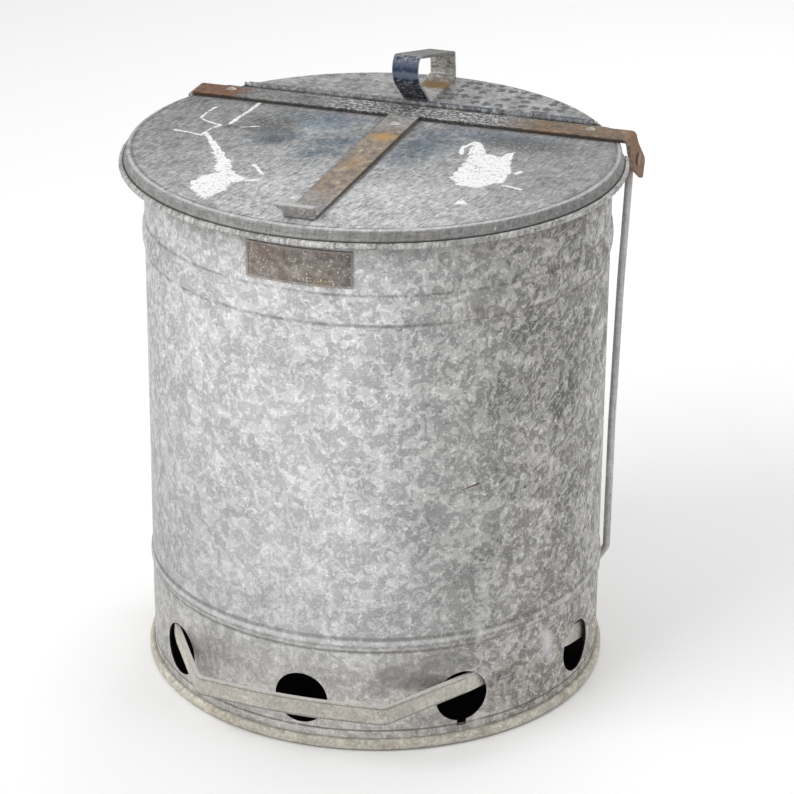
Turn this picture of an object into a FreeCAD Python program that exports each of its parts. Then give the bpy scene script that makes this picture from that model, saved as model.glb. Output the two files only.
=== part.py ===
import FreeCAD, Part
import math
import os

# Foot-operated, self-closing waste can of galvanized sheet.
# Origin: the can's axis at the floor. +Z up, front (pedal) towards -Y, +X to the right.
# All sizes in millimetres.

os.makedirs("parts", exist_ok=True)
Vector = FreeCAD.Vector

# ---------------------------------------------------------------- body
body_diameter = 381.0
body_height = 451.1             # floor to the rim
body_sheet = 1.2
rim_hem_height = 8.0            # the rim is folded inwards over this height
seam_width = 9.0                # lock seam down the back
seam_proud = 1.2
upper_swage_drop = 68.6         # rim to the middle of the upper swage
upper_swage_width = 25.4
upper_swage_proud = 2.2
lower_swage_height = 94.5       # floor to the middle of the lower swage
lower_swage_width = 13.0
lower_swage_proud = 1.6

# ---------------------------------------------------------------- vent holes
vent_count = 9
vent_diameter = 44.5
vent_height = 42.0              # floor to the holes' centres
notch_width = 8.0               # small nick under the vent at the pedal's right arm
notch_depth = 4.5

# ---------------------------------------------------------------- foot hoop
hoop_sheet = 1.0
hoop_height = 9.8
hoop_reach = 4.3                # beyond the body wall
hoop_leg = 16.0                 # height of the leg inside the wall
foot_wire_diameter = 3.0

# ---------------------------------------------------------------- raised bottom
pan_sheet = 1.2
pan_rim_depth = 14.0
pan_corner_radius = 3.0

# ---------------------------------------------------------------- hinge
hinge_setback = 105.5           # can axis to the hinge line
hinge_pin_diameter = 3.0
hinge_pin_overhang = 3.0        # pin beyond the outer knuckles
knuckle_sheet = 1.15
lid_knuckle_length = 25.0
lid_knuckle_spread = 87.5       # can axis to the middle of each lid knuckle
hinge_end_inset = 6.6           # rim chord to the end of the outer knuckles

# ---------------------------------------------------------------- rear cover
cover_sheet = 1.2
cover_edge_radius = 2.4
skirt_height = 8.0
skirt_rivet_angles = (138.0, 160.0, 200.0, 222.0)

# ---------------------------------------------------------------- lid
lid_sheet = 1.2
lid_overhang = 9.9              # plate edge beyond the body wall
lid_shift_x = -2.5              # the lid sits a little left of and in front of the can axis
lid_shift_y = -3.5
lid_edge_radius = 2.7
flange_drop = 13.9              # top of the plate to the bottom of the rolled edge
flange_flare = 2.3
roll_radius = 2.5               # outside radius of the rolled edge
rim_wire_diameter = 2.0
flange_end_y = 62.0             # the flange stops here, in front of the crossbar's ears
lid_rear_gap = 3.2              # rear edge of the plate to the hinge line

# ---------------------------------------------------------------- crossbar with its two ears
strap_width = 25.4
strap_thickness = 3.0
crossbar_setback = 79.0         # can axis to the crossbar's middle
ear_inset = 1.0                 # ears' inner faces inside the body's radius
ear_bend_radius = 4.5
ear_eye_setback = 8.5           # rod eye in front of the hinge line
ear_eye_drop = 23.8             # rod eye below the hinge line
ear_eye_diameter = 7.94
ear_shoulder_set = 1.6          # the ear's front edge: shoulder behind the crossbar's front
ear_shoulder_rise = 19.5        # shoulder above the rod eye
ear_slant_set = 6.2
ear_slant_rise = 11.1
ear_front_margin = 8.1          # rod eye to the front edge
ear_front_drop = 7.3
ear_tip_reach = 22.2            # rod eye to the low tip behind it
ear_tip_drop = 24.8
ear_tail_reach = 28.2
ear_tail_drop = 8.8
ear_waist_reach = 2.2
ear_waist_rise = 12.8
ear_shoulder_radius = 6.0
ear_slant_radius = 12.0
ear_front_radius = 16.0
ear_tip_radius = 2.5
ear_tail_radius = 7.0
ear_waist_radius = 10.0
left_rivet_inset = 30.5         # body radius to each crossbar rivet
right_rivet_inset = 35.5
crossbar_rivet_set = 5.0        # rivets behind the crossbar's middle

# ---------------------------------------------------------------- lid strap
lid_strap_inset = 2.0           # body radius to the strap's turned-up end
lid_strap_tab_rise = 11.6
lid_strap_tab_lean = 4.5
tab_flare = 6.5                 # the tab's left corner stands out sideways
tab_bend_radius = 4.0
tab_corner_radius = 1.5
tab_corner_drop = 1.0           # top of the flared corner below the tab's top
tab_flare_drop = 6.0            # where the flare starts below the tab's top
lid_strap_rivet_y = 43.0

# ---------------------------------------------------------------- carry handle
handle_width = 22.2
handle_thickness = 2.4
handle_shift_x = -2.5
handle_height = 52.4            # top front corner above the rim
handle_rear_height = 27.5       # top rear corner above the rim
handle_foot = 6.3               # hinge line to the front bend
handle_lean = 32.5              # hinge line to the front of the loop
handle_depth = 79.0             # hinge line to the rear leg
handle_lap = 17.0               # rear foot, turned forward over the floor
handle_knee_set = 7.0           # knee behind the front of the loop
handle_knee_height = 26.0       # knee above the cover
handle_shoulder_drop = 11.5     # front of the loop below the top
handle_brow_set = 6.5           # top front corner behind the front of the loop
handle_rear_set = 3.5           # top rear corner in front of the rear leg
handle_foot_radius = 4.0
handle_knee_radius = 14.0
handle_shoulder_radius = 11.0
handle_brow_radius = 7.0
handle_lap_radius = 3.2
handle_rivet_setback = 24.0     # hinge line to the front rivet

# ---------------------------------------------------------------- lift rods
rod_diameter = 6.35
rod_foot_inset = 11.5           # rod inside the body's radius, low down
rod_head_diameter = 10.6
rod_head_height = 1.5
rod_hook_radius = 4.2
rod_bend_radius = 8.0
rod_knee_drop = 17.0            # below the eye the rod turns in towards the body
rod_waist_drop = 110.0
rod_waist_lean = 3.4            # still this far outside its foot there
rod_shin_drop = 240.0
rod_shin_lean = 0.5
rod_jog = 8.5                   # the foot steps in to pass through the vent
rod_jog_top = 28.0              # above the pin
rod_jog_foot = 14.0
rod_pin_reach = 3.5             # pin beyond the arm's inner face
rod_knee_radius = 300.0
rod_waist_radius = 600.0
rod_shin_radius = 900.0

# ---------------------------------------------------------------- pedal
pedal_bar_height = 15.9
pedal_bar_thickness = 3.2
pedal_reach = 32.5              # middle of the bar in front of the body wall
pedal_bow = 8.0                 # the middle stands this far in front of the bends
pedal_bend_spread = 79.0        # can axis to each front bend
pedal_bend_radius = 11.0
crossing_angle = 41.4           # where the arms pass through the vents, from the front
pedal_bow_radius = 400.0
pedal_arm_radius = 30.0
pedal_flank_radius = 40.0
pedal_flank_inset = 4.5         # the arm runs this far in between pivot and crossing
pedal_flank_reach = 53.0        # pivot to that place
pedal_flat = 14.0               # the arm is straight this far on both sides of the pivot
pedal_front_rise = 10.0         # bar's middle above the vents' centres, in front
pedal_crossing_rise = 11.0
pedal_slope_reach = 55.0        # the arm slopes down to the pivot from here
pivot_y = 13.0
pivot_pin_diameter = 6.35
pivot_head_diameter = 13.0
pivot_head_height = 2.6
spacer_length = 2.6             # between the wall and each arm
eye_wall_gap = 2.4              # between the wall and each arm at the rod's eye

# ---------------------------------------------------------------- rating plate, bare
plate_from_angle = -13.4
plate_to_angle = 12.8
plate_height = 29.5
plate_drop = 20.6               # rim to the plate's top edge
plate_sheet = 0.6
plate_border = 2.0
plate_border_proud = 0.5

# ---------------------------------------------------------------- rivets
rivet_shank_diameter = 4.8
rivet_head_diameter = 8.6
rivet_head_height = 1.5
small_rivet_shank_diameter = 3.2
small_rivet_head_diameter = 6.4
small_rivet_head_height = 1.1

# ---------------------------------------------------------------- clearances
seat_gap = 0.1                  # between fixed pieces that seat on curved faces
running_gap = 0.06              # radial, pins in their bores
moving_gap = 0.3                # between pieces that move past each other
open_pivot_play = 1.1           # radial, rod's lower pin in the pedal's eye
open_pivot_shift = 0.54         # the eye sits this far forward of and below the pin at rest
hole_gap = 0.05                 # radial, rivets in their holes

# ---------------------------------------------------------------- worked out from the above
body_radius = body_diameter / 2
wall_inside = body_radius - body_sheet
hinge_pin_radius = hinge_pin_diameter / 2
knuckle_bore = hinge_pin_radius + running_gap
knuckle_radius = knuckle_bore + knuckle_sheet
hinge_z = body_height + knuckle_radius
cover_top = body_height + cover_sheet
lid_bottom = body_height + moving_gap
lid_top = lid_bottom + lid_sheet
lid_radius = body_radius + lid_overhang
lid_rear_y = hinge_setback - lid_rear_gap
strap_top = lid_top + strap_thickness
crossbar_front = crossbar_setback - strap_width / 2
crossbar_rear = crossbar_setback + strap_width / 2
lid_strap_front = body_radius - lid_strap_inset
ear_inner = body_radius - ear_inset
ear_outer = ear_inner + strap_thickness
rod_radius = rod_diameter / 2
rod_y = hinge_setback - ear_eye_setback
rod_top_z = hinge_z - ear_eye_drop
rod_top_x = ear_inner - moving_gap - rod_radius
rod_foot_x = body_radius - rod_foot_inset
rod_pin_z = vent_height + 2.0
pivot_z = vent_height - 2.5
arm_half = pedal_bar_thickness / 2
pivot_wall_x = math.sqrt(wall_inside ** 2 - pivot_y ** 2)
pivot_x = pivot_wall_x - spacer_length - 2 * seat_gap - arm_half
eye_x = math.sqrt(wall_inside ** 2 - rod_y ** 2) - eye_wall_gap - arm_half


# ---------------------------------------------------------------- drawing helpers
def direction(start, end):
    return (end - start).normalize()


def flat(points):
    """2-D points as vectors in the drawing plane."""
    return [Vector(u, v, 0) for u, v in points]


def rounded_edges(points, radii, closed):
    """Straight runs and tangent arcs along the points, with a radius at each corner."""
    count = len(points)
    entries = []
    exits = []
    arcs = []
    for i, corner in enumerate(points):
        is_end = not closed and i in (0, count - 1)
        if is_end or radii[i] <= 0:
            entries.append(corner)
            exits.append(corner)
            arcs.append(None)
            continue
        back = direction(corner, points[i - 1])
        ahead = direction(corner, points[(i + 1) % count])
        half = back.getAngle(ahead) / 2
        reach = radii[i] / math.tan(half)
        centre = corner + (back + ahead).normalize() * (radii[i] / math.sin(half))
        middle = centre + direction(centre, corner) * radii[i]
        entries.append(corner + back * reach)
        exits.append(corner + ahead * reach)
        arcs.append(Part.Arc(entries[i], middle, exits[i]).toShape())
    edges = []
    for i in range(count):
        if arcs[i]:
            edges.append(arcs[i])
        if i + 1 < count or closed:
            after = entries[(i + 1) % count]
            if (after - exits[i]).Length > 1e-6:
                edges.append(Part.LineSegment(exits[i], after).toShape())
    return edges


def face_of(edges):
    return Part.Face(Part.Wire(Part.__sortEdges__(edges)))


def outline(points, radii):
    """Closed outline with rounded corners, as a face in the drawing plane."""
    return face_of(rounded_edges(flat(points), radii, True))


def disc(u, v, radius):
    """Round section, as a face in the drawing plane."""
    return Part.Face(Part.Wire(Part.makeCircle(radius, Vector(u, v, 0))))


def shifted_path(points, radii, shift):
    """The path moved to its left by `shift`, with each corner's radius there."""
    moved = []
    moved_radii = []
    last = len(points) - 1
    for i, corner in enumerate(points):
        into = direction(points[max(i - 1, 0)], points[max(i, 1)])
        out = direction(points[min(i, last - 1)], points[min(i + 1, last)])
        normals = Vector(-into.y, into.x, 0) + Vector(-out.y, out.x, 0)
        moved.append(corner + normals * (shift / (1 + into.dot(out))))
        turn = into.cross(out).z
        radius = radii[i] - shift * math.copysign(1, turn) if radii[i] > 0 else 0
        moved_radii.append(max(radius, 0))
    return moved, moved_radii


def bent_strip(points, radii, thickness, centred=False):
    """Section of a bent strip: a path with corner radii, thickened to its left."""
    path = flat(points)
    if centred:
        path, radii = shifted_path(path, radii, -thickness / 2)
    far_path, far_radii = shifted_path(path, radii, thickness)
    edges = rounded_edges(path, radii, False) + rounded_edges(far_path, far_radii, False)
    edges.append(Part.LineSegment(path[0], far_path[0]).toShape())
    edges.append(Part.LineSegment(path[-1], far_path[-1]).toShape())
    return face_of(edges)


def on_xz(shape):
    """Stands a drawing up: first axis along X, second along Z."""
    shape.Placement = FreeCAD.Placement(Vector(), FreeCAD.Rotation(Vector(1, 0, 0), 90))
    return shape


def on_yz(shape):
    """Stands a drawing up: first axis along Y, second along Z."""
    shape.Placement = FreeCAD.Placement(Vector(), FreeCAD.Rotation(Vector(1, 1, 1), 120))
    return shape


def turned(section, start_angle=0.0, sweep=360.0):
    """Revolves a section about the can's axis, from an angle counted from the front."""
    solid = on_xz(section).revolve(Vector(), Vector(0, 0, 1), sweep)
    solid.rotate(Vector(), Vector(0, 0, 1), start_angle - 90)
    return solid


def across(section, from_x, to_x):
    """Extrudes a section drawn in Y and Z from one X to another."""
    solid = on_yz(section).extrude(Vector(to_x - from_x, 0, 0))
    solid.translate(Vector(from_x, 0, 0))
    return solid


def box(x, y, z):
    """Box between the (low, high) limits along each axis."""
    corner = Vector(x[0], y[0], z[0])
    return Part.makeBox(x[1] - x[0], y[1] - y[0], z[1] - z[0], corner)


def bar_along_x(radius, from_x, to_x, y, z):
    return Part.makeCylinder(radius, to_x - from_x, Vector(from_x, y, z), Vector(1, 0, 0))


def outward(angle):
    """Level direction at an angle counted from the front towards the right."""
    turn = math.radians(angle)
    return Vector(math.sin(turn), -math.cos(turn), 0)


def radial_hole(radius, angle, z):
    """Cylinder that goes through the wall only, pointing away from the can's axis."""
    start = outward(angle) * (body_radius - 20) + Vector(0, 0, z)
    return Part.makeCylinder(radius, 40, start, outward(angle))


def headed_pin(base, axis, grip, shank, head, head_height, tail, tail_height):
    """Round pin: domed head on `base`, shank down through `grip`, upset tail."""
    curve = (head ** 2 + head_height ** 2) / (2 * head_height)
    half = math.asin(head / curve) / 2
    dome = Vector(curve * math.sin(half), head_height - curve + curve * math.cos(half), 0)
    corners = flat([(0, head_height), (0, -grip - tail_height), (tail, -grip - tail_height),
                    (tail, -grip), (shank, -grip), (shank, 0), (head, 0)])
    edges = [Part.LineSegment(a, b).toShape() for a, b in zip(corners, corners[1:])]
    edges.append(Part.Arc(corners[-1], dome, corners[0]).toShape())
    pin = on_xz(face_of(edges)).revolve(Vector(), Vector(0, 0, 1), 360)
    pin.Placement = FreeCAD.Placement(base, FreeCAD.Rotation(Vector(0, 0, 1), axis))
    return pin


def rivet(base, axis, grip):
    radius = rivet_head_diameter / 2
    return headed_pin(base, axis, grip, rivet_shank_diameter / 2,
                      radius, rivet_head_height, radius * 0.85, rivet_head_height * 0.6)


def small_rivet(base, axis, grip):
    radius = small_rivet_head_diameter / 2
    return headed_pin(base, axis, grip, small_rivet_shank_diameter / 2,
                      radius, small_rivet_head_height, radius * 0.85, small_rivet_head_height * 0.7)


def hole_for(base, axis, grip, diameter):
    """Clear hole for a rivet, through the pieces that it grips."""
    return Part.makeCylinder(diameter / 2 + hole_gap, grip + 2, base + axis, axis * -1)


# ---------------------------------------------------------------- body
def wall_section(outer, thickness, bottom, top):
    """Section of the body wall between two heights, with both swages."""
    swages = ((lower_swage_height, lower_swage_width, lower_swage_proud),
              (body_height - upper_swage_drop, upper_swage_width, upper_swage_proud))
    edges = []
    for radius in (outer, outer - thickness):
        start = Vector(radius, bottom, 0)
        for middle, width, proud in swages:
            foot = Vector(radius, middle - width / 2, 0)
            crest = Vector(radius + proud, middle, 0)
            head = Vector(radius, middle + width / 2, 0)
            edges.append(Part.LineSegment(start, foot).toShape())
            edges.append(Part.Arc(foot, crest, head).toShape())
            start = head
        edges.append(Part.LineSegment(start, Vector(radius, top, 0)).toShape())
    for height in (bottom, top):
        ends = Vector(outer, height, 0), Vector(outer - thickness, height, 0)
        edges.append(Part.LineSegment(*ends).toShape())
    return face_of(edges)


def vent_angles():
    return [360.0 / vent_count * i for i in range(vent_count)]


def skirt_rivet_seats():
    """Outer seat and outward direction of each rivet through the rear cover's skirt."""
    seats = []
    for angle in skirt_rivet_angles:
        seat = outward(angle) * skirt_outside + Vector(0, 0, cover_top - skirt_height / 2 - cover_sheet)
        seats.append((seat, outward(angle)))
    return seats


skirt_outside = body_radius + seat_gap + cover_sheet
hem_inside = wall_inside - body_sheet
skirt_grip = skirt_outside - hem_inside + seat_gap


def make_body_shell():
    shell = turned(wall_section(body_radius, body_sheet, hoop_sheet, body_height - body_sheet))
    hem_low = body_height - rim_hem_height
    fold = 0.98 * body_sheet
    hem = outline([(hem_inside, hem_low), (body_radius, hem_low), (body_radius, body_height),
                   (hem_inside, body_height)], [0, 0, fold, fold])
    seam_top = body_height - skirt_height - 2 * seam_proud
    seam = wall_section(body_radius + seam_proud, seam_proud, hoop_height + seam_proud, seam_top)
    seam_sweep = math.degrees(seam_width / body_radius)
    shell = shell.fuse([turned(hem), turned(seam, 180 - seam_sweep / 2, seam_sweep)])
    holes = [radial_hole(vent_diameter / 2, angle, vent_height) for angle in vent_angles()]
    notch_floor = vent_height - vent_diameter / 2 - notch_depth
    notch = box((-notch_width / 2, notch_width / 2), (-body_radius - 9, -body_radius + 9),
                (notch_floor, vent_height))
    notch.rotate(Vector(), Vector(0, 0, 1), vent_angles()[1])
    holes.append(notch)
    pin_hole = pivot_pin_diameter / 2 + hole_gap
    holes.append(bar_along_x(pin_hole, -body_radius - 9, -body_radius + 20, pivot_y, pivot_z))
    holes.append(bar_along_x(pin_hole, body_radius - 20, body_radius + 9, pivot_y, pivot_z))
    for seat, axis in skirt_rivet_seats():
        holes.append(hole_for(seat, axis, skirt_grip, small_rivet_shank_diameter))
    return shell.cut(holes).removeSplitter()


def make_base_hoop():
    leg_x = wall_inside - seat_gap - hoop_sheet
    reach_x = body_radius + hoop_reach
    bulge = hoop_reach - 2 * seat_gap - hoop_sheet / 2
    points = [(leg_x, hoop_leg), (leg_x, 0), (reach_x, 0), (reach_x, hoop_height),
              (body_radius + 2 * seat_gap, hoop_height)]
    return turned(bent_strip(points, [0, hoop_sheet, bulge, bulge, 0], hoop_sheet))


def make_foot_wire():
    wire_radius = foot_wire_diameter / 2
    middle = body_radius + seat_gap + wire_radius
    return Part.makeTorus(middle, wire_radius, Vector(0, 0, hoop_height / 2))


def make_bottom_pan():
    edge = wall_inside - seat_gap
    points = [(0, lower_swage_height), (edge, lower_swage_height),
              (edge, lower_swage_height - pan_rim_depth)]
    return turned(bent_strip(points, [0, pan_corner_radius, 0], -pan_sheet))


# ---------------------------------------------------------------- hinge and rear cover
hinge_end = math.sqrt(body_radius ** 2 - hinge_setback ** 2) - hinge_end_inset


def lid_knuckle_spans():
    half = lid_knuckle_length / 2
    return [(side * lid_knuckle_spread - half, side * lid_knuckle_spread + half) for side in (-1, 1)]


def cover_knuckle_spans():
    """The stretches of the hinge line that the lid's knuckles leave free."""
    (left_start, left_end), (right_start, right_end) = lid_knuckle_spans()
    return [(-hinge_end, left_start - moving_gap), (left_end + moving_gap, right_start - moving_gap),
            (right_end + moving_gap, hinge_end)]


def knuckle(span, radius=knuckle_radius):
    return bar_along_x(radius, span[0], span[1], hinge_setback, hinge_z)


def hinge_bore():
    return bar_along_x(knuckle_bore, -body_radius, body_radius, hinge_setback, hinge_z)


def make_rear_cover():
    skirt_bottom = cover_top - skirt_height - cover_sheet
    points = [(0, cover_top), (skirt_outside, cover_top), (skirt_outside, skirt_bottom)]
    cover = turned(bent_strip(points, [0, cover_edge_radius, 0], -cover_sheet))
    reach = body_radius + 20
    cover = cover.common(box((-reach, reach), (hinge_setback, reach), (0, cover_top + 1)))
    cover = cover.fuse([knuckle(span) for span in cover_knuckle_spans()])
    cuts = [hinge_bore()]
    for start, end in lid_knuckle_spans():
        cuts.append(box((start - moving_gap, end + moving_gap),
                        (hinge_setback - 1, hinge_setback + knuckle_radius + moving_gap),
                        (body_height - 1, cover_top + 1)))
    for seat, axis in skirt_rivet_seats():
        cuts.append(hole_for(seat, axis, skirt_grip, small_rivet_shank_diameter))
    for seat, grip in handle_rivet_seats():
        cuts.append(hole_for(seat, Vector(0, 0, 1), grip, rivet_shank_diameter))
    return cover.cut(cuts).removeSplitter()


def make_skirt_rivets():
    return [small_rivet(seat, axis, skirt_grip) for seat, axis in skirt_rivet_seats()]


def make_hinge_pin():
    half = hinge_end + hinge_pin_overhang
    pin = bar_along_x(hinge_pin_radius, -half, half, hinge_setback, hinge_z)
    head = bar_along_x(knuckle_radius * 0.8, -half - 1, -half, hinge_setback, hinge_z)
    return pin.fuse(head).removeSplitter()


# ---------------------------------------------------------------- carry handle
handle_top_z = body_height + handle_height
handle_floor_rear = hinge_setback + handle_depth


def make_carry_handle():
    front_y = hinge_setback - handle_lean
    rear_y = handle_floor_rear
    lap_z = cover_top + handle_thickness + seat_gap
    points = [(rear_y, cover_top), (hinge_setback + handle_foot, cover_top),
              (front_y + handle_knee_set, cover_top + handle_knee_height),
              (front_y, handle_top_z - handle_shoulder_drop), (front_y + handle_brow_set, handle_top_z),
              (rear_y - handle_rear_set, body_height + handle_rear_height),
              (rear_y, lap_z), (rear_y - handle_lap, lap_z)]
    radii = [0, handle_foot_radius, handle_knee_radius, handle_shoulder_radius, handle_brow_radius,
             handle_foot_radius, handle_lap_radius, 0]
    strip = bent_strip(points, radii, -handle_thickness)
    handle = across(strip, handle_shift_x - handle_width / 2, handle_shift_x + handle_width / 2)
    cuts = [hole_for(seat, Vector(0, 0, 1), grip, rivet_shank_diameter)
            for seat, grip in handle_rivet_seats()]
    return handle.cut(cuts)


def handle_rivet_seats():
    """Head seats and grips: one through the floor in front, one through the lap behind."""
    floor_z = cover_top + handle_thickness
    lap_top = floor_z + handle_thickness + seat_gap
    front = Vector(handle_shift_x, hinge_setback + handle_rivet_setback, floor_z)
    rear = Vector(handle_shift_x, handle_floor_rear - handle_lap * 0.6, lap_top)
    base = body_height - seat_gap
    return [(front, front.z - base), (rear, rear.z - base)]


def make_handle_rivets():
    return [rivet(seat, Vector(0, 0, 1), grip) for seat, grip in handle_rivet_seats()]


# ---------------------------------------------------------------- lid
def make_front_lid():
    roll_bottom = lid_top - flange_drop
    inside = lid_radius - lid_sheet
    flare_x = inside + flange_flare
    roll_x = flare_x + 2 * roll_radius
    roll_top = roll_bottom + 2 * roll_radius
    points = [(0, lid_bottom), (inside, lid_bottom), (flare_x, roll_bottom), (roll_x, roll_bottom),
              (roll_x, roll_top), (flare_x + 1.5 * lid_sheet, roll_top)]
    radii = [0, lid_edge_radius - lid_sheet, roll_radius, roll_radius, roll_radius, 0]
    lid = turned(bent_strip(points, radii, lid_sheet))
    lid.translate(Vector(lid_shift_x, lid_shift_y, 0))
    reach = lid_radius + 30
    behind_hinge = box((-reach, reach), (lid_rear_y, reach), (0, lid_top + 1))
    rear_flange = box((-reach, reach), (flange_end_y, reach), (0, lid_bottom))
    lid = lid.cut([behind_hinge, rear_flange])
    tongues = []
    for start, end in lid_knuckle_spans():
        tongues.append(box((start, end), (lid_rear_y - 1, hinge_setback), (lid_bottom, lid_top)))
        tongues.append(knuckle((start, end)))
    cuts = [hinge_bore()]
    for seat in crossbar_rivet_seats() + [strap_rivet_seat()]:
        cuts.append(hole_for(seat, Vector(0, 0, 1), strap_thickness + lid_sheet, rivet_shank_diameter))
    return lid.fuse(tongues).cut(cuts).removeSplitter()


def make_lid_rim_wire():
    """Wire in the rolled edge, round the front as far as the flange goes."""
    middle = lid_radius - lid_sheet + flange_flare + roll_radius
    section = disc(middle, lid_top - flange_drop + roll_radius, rim_wire_diameter / 2)
    behind = math.asin((flange_end_y - lid_shift_y - rim_wire_diameter) / middle)
    half_sweep = 90 + math.degrees(behind)
    wire = turned(section, -half_sweep, 2 * half_sweep)
    wire.translate(Vector(lid_shift_x, lid_shift_y, 0))
    return wire


# ---------------------------------------------------------------- crossbar and lid strap
def ear_outline():
    """Leaf-shaped ear, drawn in Y and Z: it slants back from the crossbar to a low tip."""
    front = crossbar_front
    bend = strap_top - ear_bend_radius
    eye_y = rod_y
    eye_z = rod_top_z
    points = [(front, bend), (front + ear_shoulder_set, eye_z + ear_shoulder_rise),
              (front + ear_slant_set, eye_z + ear_slant_rise),
              (eye_y - ear_front_margin, eye_z - ear_front_drop),
              (eye_y + ear_tip_reach, eye_z - ear_tip_drop),
              (eye_y + ear_tail_reach, eye_z - ear_tail_drop),
              (eye_y + ear_waist_reach, eye_z + ear_waist_rise), (crossbar_rear, bend)]
    return outline(points, [0, ear_shoulder_radius, ear_slant_radius, ear_front_radius,
                            ear_tip_radius, ear_tail_radius, ear_waist_radius, 0])


def make_crossbar():
    below = strap_top - 2 * ear_bend_radius
    span = [(-ear_outer, below), (-ear_outer, strap_top), (ear_outer, strap_top), (ear_outer, below)]
    bar = on_xz(bent_strip(span, [0, ear_bend_radius, ear_bend_radius, 0], -strap_thickness))
    bar = bar.extrude(Vector(0, strap_width, 0))
    bar.translate(Vector(0, crossbar_front, 0))
    drop = strap_top - ear_bend_radius
    reach = ear_outer + 1
    bar = bar.cut(box((-reach, reach), (crossbar_front - 1, crossbar_rear + 1), (0, drop)))
    ears = [across(ear_outline(), ear_inner, ear_outer), across(ear_outline(), -ear_outer, -ear_inner)]
    cuts = [bar_along_x(ear_eye_diameter / 2, -reach, reach, rod_y, rod_top_z)]
    for seat in crossbar_rivet_seats():
        cuts.append(hole_for(seat, Vector(0, 0, 1), strap_thickness, rivet_shank_diameter))
    return bar.fuse(ears).cut(cuts).removeSplitter()


def crossbar_rivet_seats():
    rivet_y = crossbar_setback + crossbar_rivet_set
    return [Vector(left_rivet_inset - body_radius, rivet_y, strap_top),
            Vector(body_radius - right_rivet_inset, rivet_y, strap_top)]


def make_crossbar_rivets():
    grip = strap_thickness + lid_sheet
    return [rivet(seat, Vector(0, 0, 1), grip) for seat in crossbar_rivet_seats()]


def strap_rivet_seat():
    return Vector(0, lid_strap_rivet_y, strap_top)


def make_lid_strap():
    """Strap from the crossbar to the lid's front edge, its end turned up as a tab."""
    tab_top = lid_top + lid_strap_tab_rise
    points = [(crossbar_front - moving_gap, lid_top), (-lid_strap_front, lid_top),
              (-lid_strap_front - lid_strap_tab_lean, tab_top)]
    strip = bent_strip(points, [0, tab_bend_radius, 0], -strap_thickness)
    half = strap_width / 2
    strap = across(strip, -half - tab_flare, half)
    above = tab_top + strap_thickness
    corner_x = -half - tab_flare
    front_view = outline([(-half, lid_top - 1), (half, lid_top - 1), (half, above), (corner_x, above),
                          (corner_x, tab_top - tab_corner_drop), (-half, tab_top - tab_flare_drop)],
                         [0, 0, 0, 0, tab_corner_radius, tab_bend_radius])
    reach = lid_radius + 30
    window = on_xz(front_view).extrude(Vector(0, -2 * reach, 0))
    window.translate(Vector(0, reach, 0))
    hole = hole_for(strap_rivet_seat(), Vector(0, 0, 1), strap_thickness, rivet_shank_diameter)
    return strap.common(window).cut(hole)


def make_lid_strap_rivet():
    return rivet(strap_rivet_seat(), Vector(0, 0, 1), strap_thickness + lid_sheet)


# ---------------------------------------------------------------- linkage
def make_lift_rod(side):
    """Round rod: hooked through the ear above, pinned through the pedal's eye below."""
    head_x = ear_outer + moving_gap
    pin_end = eye_x - arm_half - rod_pin_reach
    elbow_x = rod_foot_x - rod_jog
    points = flat([(head_x, rod_top_z), (rod_top_x, rod_top_z), (rod_top_x, rod_top_z - rod_knee_drop),
                   (rod_foot_x + rod_waist_lean, rod_top_z - rod_waist_drop),
                   (rod_foot_x + rod_shin_lean, rod_top_z - rod_shin_drop),
                   (rod_foot_x, rod_pin_z + rod_jog_top), (elbow_x, rod_pin_z + rod_jog_foot),
                   (elbow_x, rod_pin_z), (pin_end, rod_pin_z)])
    radii = [0, rod_hook_radius, rod_knee_radius, rod_waist_radius, rod_shin_radius,
             rod_bend_radius, rod_bend_radius, rod_bend_radius, 0]
    path = Part.Wire(Part.__sortEdges__(rounded_edges(points, radii, False)))
    path = on_xz(path)
    start = Vector(head_x, 0, rod_top_z)
    profile = Part.Wire(Part.makeCircle(rod_radius, start, Vector(1, 0, 0)))
    rod = path.makePipeShell([profile], True, False)
    heads = [bar_along_x(rod_head_diameter / 2, head_x, head_x + rod_head_height, 0, rod_top_z),
             bar_along_x(rod_head_diameter / 2, pin_end - rod_head_height, pin_end, 0, rod_pin_z)]
    rod = rod.fuse(heads)
    rod.translate(Vector(0, rod_y, 0))
    return rod if side > 0 else rod.mirror(Vector(), Vector(1, 0, 0))


def pedal_plan():
    """Centre line of the flat bar seen from above: right rear eye round the front to the left one."""
    crossing = outward(crossing_angle) * (body_radius - body_sheet / 2)
    front_y = -body_radius - pedal_reach
    eye = Vector(eye_x, rod_y, 0)
    flat_rear = Vector(pivot_x, pivot_y + pedal_flat, 0)
    flat_front = Vector(pivot_x, pivot_y - pedal_flat, 0)
    flank = Vector(pivot_x - pedal_flank_inset, pivot_y - pedal_flank_reach, 0)
    beyond_eye = eye + direction(flat_rear, eye) * pedal_bar_height
    right = [beyond_eye, flat_rear, flat_front, flank, crossing,
             Vector(pedal_bend_spread, front_y + pedal_bow, 0)]
    radii = [0, pedal_arm_radius, pedal_arm_radius, pedal_flank_radius, pedal_arm_radius, pedal_bend_radius]
    left = [Vector(-p.x, p.y, 0) for p in reversed(right)]
    points = [(p.x, p.y) for p in right + [Vector(0, front_y, 0)] + left]
    return points, radii + [pedal_bow_radius] + radii[::-1]


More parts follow.
